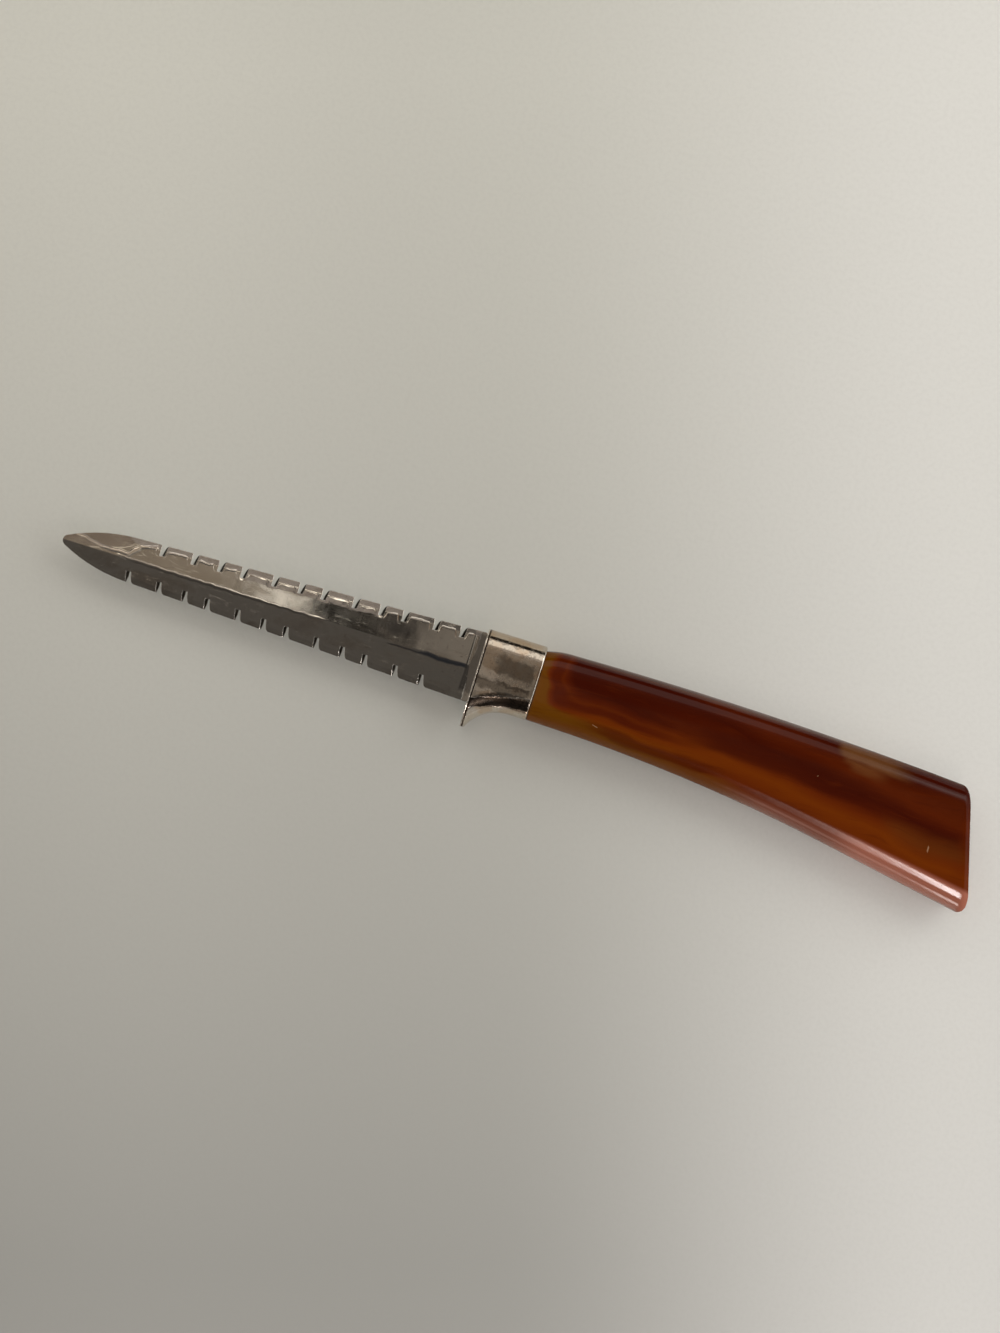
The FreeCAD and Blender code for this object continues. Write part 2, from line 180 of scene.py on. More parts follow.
def makeBandGroup():
    # A soft band that runs from one point to another, measured in millimetres
    tree, given, result = newGroup("softBand", {
        "Place": ("NodeSocketVector", None),
        "Start": ("NodeSocketFloat", 0.0), "End": ("NodeSocketFloat", 10.0),
        "Height at Start": ("NodeSocketFloat", 0.0), "Height at End": ("NodeSocketFloat", 0.0),
        "Half Width": ("NodeSocketFloat", 1.0), "Soft Edge": ("NodeSocketFloat", 1.0),
        "Soft Start": ("NodeSocketFloat", 3.0), "Soft End": ("NodeSocketFloat", 3.0),
    }, {"Mask": ("NodeSocketFloat", None)})
    parts = axes(tree, given["Place"])
    fall = maths(tree, "SUBTRACT", given["Height at End"], given["Height at Start"])
    length = maths(tree, "SUBTRACT", given["End"], given["Start"])
    along = maths(tree, "SUBTRACT", parts["X"], given["Start"])
    rise = maths(tree, "MULTIPLY", maths(tree, "DIVIDE", along, length), fall)
    centre = maths(tree, "ADD", given["Height at Start"], rise)
    away = maths(tree, "ABSOLUTE", maths(tree, "SUBTRACT", parts["Y"], centre))
    outer = maths(tree, "ADD", given["Half Width"], given["Soft Edge"])
    across = smoothStep(tree, away, outer, given["Half Width"])
    before = maths(tree, "SUBTRACT", given["Start"], given["Soft Start"])
    after = maths(tree, "ADD", given["End"], given["Soft End"])
    opening = smoothStep(tree, parts["X"], before, given["Start"])
    closing = smoothStep(tree, parts["X"], after, given["End"])
    mask = maths(tree, "MULTIPLY", across, maths(tree, "MULTIPLY", opening, closing))
    tree.links.new(mask, result["Mask"])
    return tree


scratches = {
    "detail": 2.0,
    "patchScale": 0.6,       # scale of the patches against that of the lines
    "patchFade": 0.08,
}


def makeScratchGroup():
    # Hair-fine scratches: the level lines of a long drawn-out noise, broken up by another
    tree, given, result = newGroup("fineScratches", {
        "Vector": ("NodeSocketVector", None), "Scale": ("NodeSocketFloat", 0.4),
        "Stretch": ("NodeSocketFloat", 0.12), "Turn": ("NodeSocketFloat", 0.0),
        "Fineness": ("NodeSocketFloat", 0.01), "Sparseness": ("NodeSocketFloat", 0.5),
    }, {"Mask": ("NodeSocketFloat", None)})
    angles = addNode(tree, "ShaderNodeCombineXYZ", {"Z": given["Turn"]}).outputs[0]
    sizes = addNode(tree, "ShaderNodeCombineXYZ", {
        "X": given["Stretch"], "Y": 1.0, "Z": 1.0}).outputs[0]
    place = addNode(tree, "ShaderNodeMapping", {
        "Vector": given["Vector"], "Rotation": angles, "Scale": sizes}).outputs[0]
    drawn = noise(tree, place, given["Scale"], scratches["detail"])
    away = maths(tree, "ABSOLUTE", maths(tree, "SUBTRACT", drawn, noiseMiddle))
    line = smoothStep(tree, away, given["Fineness"], 0.0)
    patchScale = maths(tree, "MULTIPLY", given["Scale"], scratches["patchScale"])
    patches = noise(tree, given["Vector"], patchScale, scratches["detail"])
    patch = smoothStep(tree, patches, given["Sparseness"],
                       maths(tree, "ADD", given["Sparseness"], scratches["patchFade"]))
    tree.links.new(maths(tree, "MULTIPLY", line, patch), result["Mask"])
    return tree


def makeEdgeGroup():
    # Where a rounded copy of the surface would turn away from it: along its sharp edges
    tree, given, result = newGroup("edgeWear", {
        "Rounded Normal": ("NodeSocketVector", None), "Contrast": ("NodeSocketFloat", 0.05),
    }, {"Mask": ("NodeSocketFloat", None)})
    flat = addNode(tree, "ShaderNodeNewGeometry").outputs["Normal"]
    match = addNode(tree, "ShaderNodeVectorMath", {0: flat, 1: given["Rounded Normal"]},
                    operation="DOT_PRODUCT").outputs["Value"]
    turned = maths(tree, "SUBTRACT", 1.0, match)
    tree.links.new(smoothStep(tree, turned, 0.0, given["Contrast"]), result["Mask"])
    return tree


# The polished rim that runs along the bevels and dips round every notch, whose bright line
# is a painted highlight on a slight raised bead, and the apron, the wider ground band behind
# the middle teeth of the upper edge. All in millimetres, from the front of the bolster where
# they run along the blade.

rim = {
    "halfRoot": 9.0,         # half width of the blade at the bolster
    "taper": 0.0377,         # how much of that is lost with each millimetre forward
    "firstNotch": 86.2,      # bolster to the first notch, halfway between the two edges
    "notchShift": 3.0,       # each edge's own share of that distance
    "group": 20.7,           # three notches and their gaps
    "notches": (0.0, 8.0, 14.8, 20.7),
    "inset": 1.45,           # edge to the rim between two notches
    "dip": 1.80,
    "dipStep": (1.8, 0.9),   # distances from a notch where the dip starts and is whole
    "halfWidth": 0.44,
    "fade": 0.50,            # how much fainter it gets with each millimetre of the dip
    "tipEnd": (-87.0, -84.5),
    "handleEnd": (-2.4, -4.0),
    "lowShare": 0.12,        # the lower edge shows it far less
    "sideStep": (-1.0, 1.0),
    "apron": 3.05,           # edge to the back of the apron
    "apronDip": 0.18,        # how much of the dip it follows
    "apronSlope": 0.165,
    "apronStart": (-63.1, -61.9),
    "apronEnd": (-26.2, -27.6),
    "apronSide": (0.0, 2.0),
    "apronFade": 0.55,       # how much fainter the rim is on it
}


def makeRimGroup():
    tree, given, result = newGroup("notchRim", {
        "Place": ("NodeSocketVector", None), "Half Width": ("NodeSocketFloat", 0.3),
    }, {"Height": ("NodeSocketFloat", None), "Apron": ("NodeSocketFloat", None)})
    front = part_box("bolster")[0][0] * perMetre
    low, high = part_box("blade")
    axis = (low[1] + high[1]) / 2 * perMetre
    parts = axes(tree, given["Place"])
    along = maths(tree, "SUBTRACT", parts["X"], front)
    across = maths(tree, "SUBTRACT", parts["Y"], axis)
    half = maths(tree, "MULTIPLY_ADD", along, rim["taper"], rim["halfRoot"])
    inset = maths(tree, "SUBTRACT", half, maths(tree, "ABSOLUTE", across))

    shift = maths(tree, "MULTIPLY", maths(tree, "SIGN", across), -rim["notchShift"])
    fromFirst = maths(tree, "ADD", maths(tree, "ADD", along, rim["firstNotch"]), shift)
    turn = maths(tree, "FLOORED_MODULO", fromFirst, rim["group"])
    nearest = None
    for notch in rim["notches"]:
        gap = maths(tree, "ABSOLUTE", maths(tree, "SUBTRACT", turn, notch))
        nearest = gap if nearest is None else maths(tree, "MINIMUM", nearest, gap)
    dip = smoothStep(tree, nearest, *rim["dipStep"], 0.0, rim["dip"])
    away = maths(tree, "ABSOLUTE", maths(
        tree, "SUBTRACT", inset, maths(tree, "ADD", dip, rim["inset"])))
    bead = maths(tree, "MULTIPLY", smoothStep(tree, away, given["Half Width"], 0.0),
                 maths(tree, "MULTIPLY_ADD", dip, -rim["fade"], 1.0))
    shown = maths(tree, "MULTIPLY", smoothStep(tree, along, *rim["tipEnd"]),
                  smoothStep(tree, along, *rim["handleEnd"]))
    share = smoothStep(tree, across, *rim["sideStep"], rim["lowShare"], 1.0)
    shown = maths(tree, "MULTIPLY", shown, share)

    outer = maths(tree, "MULTIPLY_ADD", dip, rim["apronDip"], rim["apron"])
    fall = maths(tree, "MAXIMUM", maths(tree, "SUBTRACT", outer, inset), 0.0)
    fall = maths(tree, "MINIMUM", fall, rim["apron"] - rim["inset"])
    reach = maths(tree, "MULTIPLY", smoothStep(tree, along, *rim["apronStart"]),
                  smoothStep(tree, along, *rim["apronEnd"]))
    reach = maths(tree, "MULTIPLY", reach, smoothStep(tree, across, *rim["apronSide"]))
    shown = maths(tree, "MULTIPLY", shown,
                  maths(tree, "MULTIPLY_ADD", reach, -rim["apronFade"], 1.0))
    tree.links.new(maths(tree, "MULTIPLY", bead, shown), result["Height"])
    tree.links.new(maths(tree, "MULTIPLY", maths(tree, "MULTIPLY", fall, reach),
                         -rim["apronSlope"]), result["Apron"])
    return tree


effects = {
    "band": makeBandGroup(),
    "rim": makeRimGroup(),
    "scratches": makeScratchGroup(),
    "edges": makeEdgeGroup(),
}
print("shared effects:", ", ".join(effects))

bandShape = ("Start", "End", "Height at Start", "Height at End", "Half Width", "Soft Edge",
             "Soft Start", "Soft End")


def oneBand(tree, place, shape):
    inputs = dict(zip(bandShape, shape), Place=place)
    return placeGroup(tree, effects["band"], inputs)["Mask"]


def addBands(tree, place, colour, bands):
    # Each band: the eight numbers of bandShape, then its strength and colour
    for *shape, strength, tint in bands:
        mask = maths(tree, "MULTIPLY", oneBand(tree, place, shape), strength)
        colour = mixColour(tree, mask, colour, tint)
    return colour


def bandMask(tree, place, bands):
    # The union of several bands, each without strength and colour
    mask = None
    for shape in bands:
        one = oneBand(tree, place, shape)
        mask = one if mask is None else maths(tree, "MAXIMUM", mask, one)
    return mask


def addWear(tree, colour, rounded, look):
    wear = placeGroup(tree, effects["edges"], {
        "Rounded Normal": rounded, "Contrast": look["wearContrast"]})["Mask"]
    return mixColour(tree, maths(tree, "MULTIPLY", wear, look["wearShine"]), colour,
                     look["bright"])


# Blade: ground steel, dulled by use

bladeLook = {
    "steel": (0.55, 0.53, 0.49, 1),
    "stain": (0.30, 0.25, 0.20, 1),
    "bright": (0.80, 0.77, 0.72, 1),
    "notchShade": (0.035, 0.028, 0.022, 1),     # painted shade on the walls of the notches on the upper edge
    "notchShadeLow": (0.22, 0.20, 0.18, 1),     # lighter painted shade on those of the lower edge
    "notchShadeSide": (4.0, 8.0),               # y where the one gives way to the other
    "notchShadeFacing": (0.90, 0.80),           # walls are the faces that point up less than this
    # noises: scale, detail, distortion
    "clouds": (0.16, 4.0, 0.6),
    "cloudStretch": (0.5, 1, 1),
    "specks": (1.4, 4.0),
    "wander": (0.35, 1.0),
    "wanderReach": (0.5, 0.9, 0),            # how far the ground lines stray
    "grinding": (1.0, 3.0),
    "grindStretch": (9, 0.25, 1),
    "grindTurn": 4,
    "waves": (0.13, 2.0),
    "waveStretch": (1, 0.7, 1),
    "scratches": {"Scale": 0.7, "Stretch": 0.10, "Turn": math.radians(7),
                  "Fineness": 0.006, "Sparseness": 0.50},
    # steps: from, to, least and most effect
    "stained": (0.48, 0.72, 0.0, 0.55),
    "speckled": (0.60, 0.72, 0.0, 0.50),
    "cloudRough": (0.35, 0.75, 0.06, 0.13),
    "grindRough": (0.3, 0.8, 0.0, 0.04),
    "scratchRough": 0.12,
    "lineShine": 0.8,
    "wearShine": 0.6,
    "wearContrast": 0.06,
    # metres
    "edgeRound": 0.00022,
    "edgeSamples": 6,
    "waveHeight": 0.000045,
    "apronUnit": 0.001,
    "beadHeight": 0.000036,
    "grindHeight": 0.0000012,
    "scratchDepth": 0.0000036,
}

# Other bright lines along the grinding, painted highlights given as band shapes: the outline
# of the hollow in the tip, which turns up to the edge, and the ridge
groundHighlights = [
    (-117.0, -107.6, 8.4, 7.1, 0.10, 0.45, 1.0, 0.8),
    (-108.2, -103.0, 7.1, 7.4, 0.12, 0.50, 0.8, 0.5),
    (-103.3, -100.9, 7.4, 9.9, 0.30, 0.90, 0.4, 0.4),
    (-101.2, -97.2, 9.9, 10.9, 0.12, 0.55, 0.4, 0.8),
    (-103.0, -57.0, 6.35, 6.15, 0.03, 0.28, 4.0, 6.0),
]

# Darker lines and bands along the blade; the broad band next to the bolster is painted shade
bladeDarkBands = [
    (-34.5, -16.0, 5.15, 5.45, 0.05, 0.30, 2.0, 1.0, 0.80, (0.12, 0.12, 0.13, 1)),
    (-24.5, -15.2, 5.45, 5.55, 0.35, 0.45, 6.0, 0.8, 0.80, (0.10, 0.12, 0.16, 1)),
    (-15.2, -11.4, 7.0, 7.0, 7.0, 1.0, 0.4, 0.4, 0.74, (0.20, 0.19, 0.18, 1)),
    (-99.0, -60.0, 5.75, 5.70, 0.02, 0.25, 6.0, 8.0, 0.70, (0.16, 0.15, 0.14, 1)),
    (-52.0, -34.0, 9.0, 9.6, 0.60, 2.20, 3.0, 5.0, 0.35, (0.16, 0.17, 0.19, 1)),
]


def bladeSteel():
    material, tree, shader = newMaterial("bladeSteel")
    place = millimetres(tree)
    clouds = noise(tree, stretched(tree, place, bladeLook["cloudStretch"]),
                   *bladeLook["clouds"])
    colour = mixColour(tree, smoothStep(tree, clouds, *bladeLook["stained"]),
                       bladeLook["steel"], bladeLook["stain"])
    specks = noise(tree, place, *bladeLook["specks"])
    colour = mixColour(tree, smoothStep(tree, specks, *bladeLook["speckled"]), colour,
                       bladeLook["stain"])
    rounded = roundedNormal(tree, bladeLook)
    colour = addWear(tree, colour, rounded, bladeLook)

    halfReach = [part / 2 for part in bladeLook["wanderReach"]]
    loose = strayed(tree, place, bladeLook["wanderReach"], *bladeLook["wander"])
    loose = vectorMaths(tree, "SUBTRACT", loose, halfReach)
    ground = placeGroup(tree, effects["rim"], {
        "Place": loose, "Half Width": rim["halfWidth"]})
    bead = maths(tree, "MAXIMUM", ground["Height"], bandMask(tree, loose, groundHighlights))
    # The rim and the ground lines are painted in bright as highlights; below they also raise
    # the surface a little
    colour = mixColour(tree, maths(tree, "MULTIPLY", bead, bladeLook["lineShine"]), colour,
                       bladeLook["bright"])
    colour = addBands(tree, loose, colour, bladeDarkBands)

    # The walls of the notches are painted with shade, dark on the upper edge and lighter on
    # the lower
    facing = addNode(tree, "ShaderNodeNewGeometry").outputs["True Normal"]
    upright = maths(tree, "ABSOLUTE", axes(tree, facing)["Z"])
    side = smoothStep(tree, axes(tree, place)["Y"], *bladeLook["notchShadeSide"])
    wall = mixColour(tree, side, bladeLook["notchShadeLow"], bladeLook["notchShade"])
    colour = mixColour(tree, smoothStep(tree, upright, *bladeLook["notchShadeFacing"]), colour,
                       wall)
    tree.links.new(colour, shader.inputs["Base Color"])
    shader.inputs["Metallic"].default_value = 1

    grinding = noise(tree, stretched(tree, place, bladeLook["grindStretch"],
                                     bladeLook["grindTurn"]), *bladeLook["grinding"])
    fine = placeGroup(tree, effects["scratches"], {
        "Vector": place, **bladeLook["scratches"]})["Mask"]
    rough = smoothStep(tree, clouds, *bladeLook["cloudRough"])
    rough = maths(tree, "ADD", rough, smoothStep(tree, grinding, *bladeLook["grindRough"]))
    rough = maths(tree, "ADD", rough,
                  maths(tree, "MULTIPLY", fine, bladeLook["scratchRough"]))
    tree.links.new(rough, shader.inputs["Roughness"])

    waves = noise(tree, stretched(tree, place, bladeLook["waveStretch"]),
                  *bladeLook["waves"])
    normal = bump(tree, waves, bladeLook["waveHeight"], rounded)
    normal = bump(tree, ground["Apron"], bladeLook["apronUnit"], normal)
    normal = bump(tree, bead, bladeLook["beadHeight"], normal)
    normal = bump(tree, grinding, bladeLook["grindHeight"], normal)
    normal = bump(tree, fine, bladeLook["scratchDepth"], normal, invert=True)
    tree.links.new(normal, shader.inputs["Normal"])
    return material


# Bolster: a plated casting, its plate worn thin and spotted

bolsterLook = {
    "plate": (0.66, 0.60, 0.52, 1),
    "tarnish": (0.16, 0.135, 0.11, 1),
    "brassy": (0.55, 0.37, 0.22, 1),
    # painted dark reflection where the top rolls over into the scoop
    "darkBand": (0.010, 0.007, 0.005, 1),
    "bright": (0.88, 0.82, 0.74, 1),
    # noises: scale, detail, distortion
    "drift": (0.35, 3.0),
    "spots": (1.9, 5.0, 0.4),
    "warmth": (0.22, 2.0),
    "waves": (0.16, 2.0),
    "waveStretch": (0.6, 1, 1),
    "patchWander": 0.7,
    "patchReach": (2.4, 2.4, 0),
    "darkBandWander": 0.9,
    "darkBandReach": (0, 0.7, 0),
    "spotShare": 0.7,        # spots and drift make the mottle
    "driftShare": 0.45,
    # steps: from, to, least and most effect
    "dulled": (0.60, 0.80, 0.0, 0.55),
    "warmed": (0.46, 0.66, 0.0, 0.45),
    "mottleRough": (0.50, 0.82, 0.09, 0.32),
    "darkBandCover": 0.98,
    "darkBandRough": 0.18,
    "wearShine": 0.5,
    "wearContrast": 0.10,
    # metres
    "edgeRound": 0.0005,
    "edgeSamples": 6,
    "castWave": 0.00006,
    "castPits": 0.000006,
}

# A rounded lip stands round the front of the casting, with a painted highlight on the lip and
# painted shade in the groove behind it
lip = {
    "width": 0.25,
    "widthStep": (0.08, -0.02),
    "groove": 0.42,
    "grooveStart": (0.0, 0.10),
    "grooveEnd": (0.12, -0.05),
    "ragged": 0.35,
    "shine": 0.7,
    "grooveShade": (0.050, 0.030, 0.018, 1),
    "depth": 0.00010,
}

# Where its top rolls over into the scoop: a painted dark reflection on a rougher surface, and
# a painted highlight line above it
darkBand = [
    (-12.0, -7.8, -2.25, -0.85, 1.05, 0.35, 0.2, 0.1),
    (-7.9, -2.8, -0.85, 0.45, 0.95, 0.35, 0.1, 0.1),
    (-2.9, 2.3, 0.45, 0.90, 1.10, 0.35, 0.1, 0.3),
]
rollOverHighlight = [
    (-11.6, -5.4, -0.75, 1.35, 0.05, 0.24, 0.4, 0.1, 0.90, bolsterLook["bright"]),
    (-5.5, 2.3, 1.35, 2.85, 0.05, 0.24, 0.1, 0.3, 0.90, bolsterLook["bright"]),
]

# Tarnish and brassy colour, and lighter and darker bands that are painted reflections across
# the curved top and its upper edge
tarnishAndReflections = [
    (-11.6, 2.2, 5.7, 4.9, 0.30, 0.40, 0.6, 1.0, 0.75, bolsterLook["tarnish"]),
    (-11.6, 2.2, 4.3, 3.9, 1.0, 0.50, 0.8, 1.0, 0.50, bolsterLook["tarnish"]),
    (-11.8, -6.5, 2.6, 2.2, 0.5, 0.60, 0.6, 2.0, 0.60, bolsterLook["bright"]),
    (-8.0, 2.2, 1.4, 2.5, 0.7, 0.50, 2.0, 1.0, 0.50, bolsterLook["brassy"]),
    (-5.5, 2.0, 9.8, 9.2, 1.6, 1.4, 3.0, 1.0, 0.72, bolsterLook["tarnish"]),
    (-10.6, -6.4, 6.9, 6.3, 0.7, 0.9, 1.2, 2.0, 0.70, bolsterLook["bright"]),
    (-12.0, 2.8, 15.0, 15.0, 0.15, 0.35, 1.0, 1.0, 0.45, bolsterLook["tarnish"]),
    (-12.0, 2.8, 17.0, 17.0, 1.1, 0.6, 1.0, 1.0, 0.40, bolsterLook["brassy"]),
]


def bolsterPlate():
    material, tree, shader = newMaterial("bolsterPlate")
    place = millimetres(tree)
    drift = noise(tree, place, *bolsterLook["drift"])
    spots = noise(tree, place, *bolsterLook["spots"])
    mottle = maths(tree, "ADD", maths(tree, "MULTIPLY", spots, bolsterLook["spotShare"]),
                   maths(tree, "MULTIPLY", drift, bolsterLook["driftShare"]))
    colour = mixColour(tree, smoothStep(tree, mottle, *bolsterLook["dulled"]),
                       bolsterLook["plate"], bolsterLook["tarnish"])
    warmth = noise(tree, place, *bolsterLook["warmth"])
    colour = mixColour(tree, smoothStep(tree, warmth, *bolsterLook["warmed"]), colour,
                       bolsterLook["brassy"])
    loose = strayed(tree, place, bolsterLook["patchReach"], bolsterLook["patchWander"])
    colour = addBands(tree, loose, colour, tarnishAndReflections)
    rounded = roundedNormal(tree, bolsterLook)
    colour = addWear(tree, colour, rounded, bolsterLook)

    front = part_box("bolster")[0][0] * perMetre
    behind = maths(tree, "SUBTRACT", axes(tree, place)["X"], front)
    ragged = maths(tree, "MULTIPLY_ADD", maths(tree, "SUBTRACT", spots, noiseMiddle),
                   lip["ragged"], behind)
    back = lip["groove"] + lip["width"]
    lipHighlight = smoothStep(tree, ragged, *(lip["width"] + step for step in lip["widthStep"]))
    groove = maths(
        tree, "MULTIPLY",
        smoothStep(tree, ragged, *(lip["width"] + step for step in lip["grooveStart"])),
        smoothStep(tree, ragged, *(back + step for step in lip["grooveEnd"])))
    # Painted shade in the groove, and a painted highlight along the lip
    colour = mixColour(tree, groove, colour, lip["grooveShade"])
    colour = mixColour(tree, maths(tree, "MULTIPLY", lipHighlight, lip["shine"]), colour,
                       bolsterLook["bright"])

    # Painted dark reflection along the roll-over into the scoop, and a painted highlight line
    # above it
    uneven = strayed(tree, place, bolsterLook["darkBandReach"], bolsterLook["darkBandWander"])
    darkBandMask = bandMask(tree, uneven, darkBand)
    colour = mixColour(tree, maths(tree, "MULTIPLY", darkBandMask, bolsterLook["darkBandCover"]),
                       colour, bolsterLook["darkBand"])
    colour = addBands(tree, uneven, colour, rollOverHighlight)
    tree.links.new(colour, shader.inputs["Base Color"])
    shader.inputs["Metallic"].default_value = 1

    rough = smoothStep(tree, mottle, *bolsterLook["mottleRough"])
    rough = maths(tree, "MULTIPLY_ADD", darkBandMask, bolsterLook["darkBandRough"], rough)
    tree.links.new(rough, shader.inputs["Roughness"])

    waves = noise(tree, stretched(tree, place, bolsterLook["waveStretch"]),
                  *bolsterLook["waves"])
    normal = bump(tree, waves, bolsterLook["castWave"], rounded)
    normal = bump(tree, spots, bolsterLook["castPits"], normal)
    normal = bump(tree, groove, lip["depth"], normal, invert=True)
    tree.links.new(normal, shader.inputs["Normal"])
    return material


# Handle: cast resin, poured from several ambers that ran into each other

resin = {
    "maroon": (0.046, 0.0040, 0.0008, 1),
    "red": (0.078, 0.0090, 0.0009, 1),
    "ember": (0.100, 0.0145, 0.0010, 1),
    "rust": (0.122, 0.0185, 0.0010, 1),
    "amber": (0.158, 0.0295, 0.0010, 1),
    "gold": (0.140, 0.0480, 0.0017, 1),
    "ochre": (0.150, 0.0460, 0.0060, 1),
    "tan": (0.150, 0.0620, 0.0200, 1),
    "brown": (0.118, 0.0420, 0.0180, 1),
    "rose": (0.330, 0.1350, 0.0950, 1),
    "copper": (0.420, 0.1550, 0.1050, 1),
    "pale": (0.420, 0.2600, 0.1500, 1),
}

handleLook = {
    # noises: scale, detail, distortion
    "drift": {"Scale": 0.12, "Detail": 2.5, "Roughness": 0.45},
    "driftStretch": (0.35, 1, 0.6),
    "driftReach": (9.0, 6.0, 0),
    "wisps": (0.9, 4.0, 0.5),
    "wispStretch": (0.12, 1, 1),
    "smears": (0.12, 4.0, 0.4),
    "waves": (0.20, 2.0),
    "hairs": {"Scale": 0.45, "Stretch": 0.08, "Turn": math.radians(-9),
              "Fineness": 0.006, "Sparseness": 0.52},
    # steps: from, to, least and most effect
    "blend": (24.0, 58.0),   # x where the pour gives way to the belly's colours
    "wispLight": (0.50, 0.85, 0.0, 0.30),
    "wispDark": (0.48, 0.20, 0.0, 0.40),
    "smearRough": (0.3, 0.75, 0.30, 0.46),
    "hairRough": 0.15,
    "coatRough": 0.11,
    "buttAt": 116.7,         # x of the slanted end on the axis of the frame
    "buttSlant": 0.254,
    "buttStep": (3.4, 2.2),
    "worn": 0.62,            # how much of the gloss is lost along the bands below
    "wornButt": 0.86,        # and round the butt
    # metres
    "edgeRound": 0.0007,
    "edgeSamples": 8,
    "waveHeight": 0.00002,
    "hairDepth": 0.000002,
}

# The dark pour starts behind the bolster with a rounded front corner. Each ramp gives
# the depth inside it, or the height above the belly of the handle, in millimetres.
pour = {
    "front": 6.8,
    "foot": 3.4,
    "fall": 0.030,
    "corner": 9.0,
    "depths": ((-5.0, "gold"), (-1.3, "gold"), (-0.3, "rust"), (0.6, "red"), (2.1, "red"),
               (2.8, "ember"), (3.5, "red"), (4.8, "maroon"), (14.0, "maroon")),
}

belly = {
    "start": 47.5,
    "height": -5.0,
    "fall": 0.166,
    "heights": ((0.0, "ochre"), (3.0, "rust"), (5.0, "rust"), (8.2, "amber"), (10.5, "rust"),
                (13.0, "red"), (16.0, "maroon"), (20.0, "red"), (24.0, "maroon")),
}

resinBands = [
    (20.0, 44.0, 2.4, 1.2, 0.6, 1.6, 12.0, 16.0, 0.75, resin["amber"]),
    (24.0, 46.0, 0.1, -1.2, 0.6, 1.4, 12.0, 12.0, 0.75, resin["red"]),
    (3.0, 46.0, -2.2, -4.2, 0.8, 1.4, 3.0, 16.0, 0.60, resin["ochre"]),
    (52.0, 86.0, 6.0, 4.6, 1.4, 2.6, 14.0, 8.0, 0.75, resin["maroon"]),
    (80.0, 90.0, 14.8, 14.4, 1.9, 1.3, 2.6, 9.0, 0.70, resin["tan"]),
    (82.0, 87.0, 12.6, 11.8, 1.0, 1.9, 3.0, 6.0, 0.60, resin["tan"]),
    (84.0, 86.5, 10.4, 10.0, 0.3, 1.6, 2.4, 4.5, 0.50, resin["tan"]),
    (115.5, 121.0, 0.0, -8.0, 14.0, 3.0, 3.5, 3.0, 0.45, resin["rust"]),
    (88.0, 118.0, 9.4, 6.2, 1.0, 4.0, 16.0, 6.0, 0.30, resin["rust"]),
    (98.0, 112.0, -1.6, -2.6, 0.1, 4.0, 7.0, 6.0, 0.36, resin["ochre"]),
]

# The lower edge is painted lighter and pinker, more so towards the butt: painted light and
# sheen from the window side
lowerEdgeSheen = [
    (66.0, 101.0, -6.6, -11.0, 1.2, 1.7, 16.0, 4.0, 0.42, resin["rose"]),
    (92.0, 124.0, -9.6, -14.4, 2.0, 1.5, 12.0, 2.0, 0.78, resin["copper"]),
]

# A paler line of painted light runs along the upper edge
upperEdgeLight = [
    (2.0, 72.0, 15.9, 15.7, 0.35, 0.50, 3.0, 0.1, 0.36, resin["brown"]),
    (72.0, 113.0, 15.7, 14.3, 0.35, 0.50, 0.1, 4.0, 0.36, resin["brown"]),
]

# The gloss of the resin is worn down here
dullBands = [
    (-2.0, 132.0, 12.0, 11.8, 2.5, 1.4, 0.5, 0.5),
    (-2.0, 48.0, -2.0, -3.6, 1.8, 1.4, 0.5, 18.0),
]

handleNicks = [
    (18.7, 19.9, 1.1, 0.8, 0.02, 0.12, 0.15, 0.15, 0.70, resin["pale"]),
    (105.9, 106.15, -3.4, -3.7, 0.5, 0.35, 0.10, 0.10, 0.60, resin["pale"]),
    (74.9, 75.1, 5.5, 5.6, 0.05, 0.12, 0.10, 0.10, 0.60, resin["pale"]),
    (111.8, 112.0, -11.0, -11.1, 0.08, 0.15, 0.12, 0.12, 0.60, resin["maroon"]),
]


def resinRamp(tree, source, stops):
    low, high = stops[0][0], stops[-1][0]
    spread = addNode(tree, "ShaderNodeMapRange", {
        "Value": source, "From Min": low, "From Max": high}).outputs[0]
    ramp = addNode(tree, "ShaderNodeValToRGB", {0: spread})
    elements = ramp.color_ramp.elements
    elements[0].color = resin[stops[0][1]]
    elements[1].color = resin[stops[-1][1]]
    for height, name in stops[1:-1]:
        elements.new((height - low) / (high - low)).color = resin[name]
    return ramp.outputs[0]


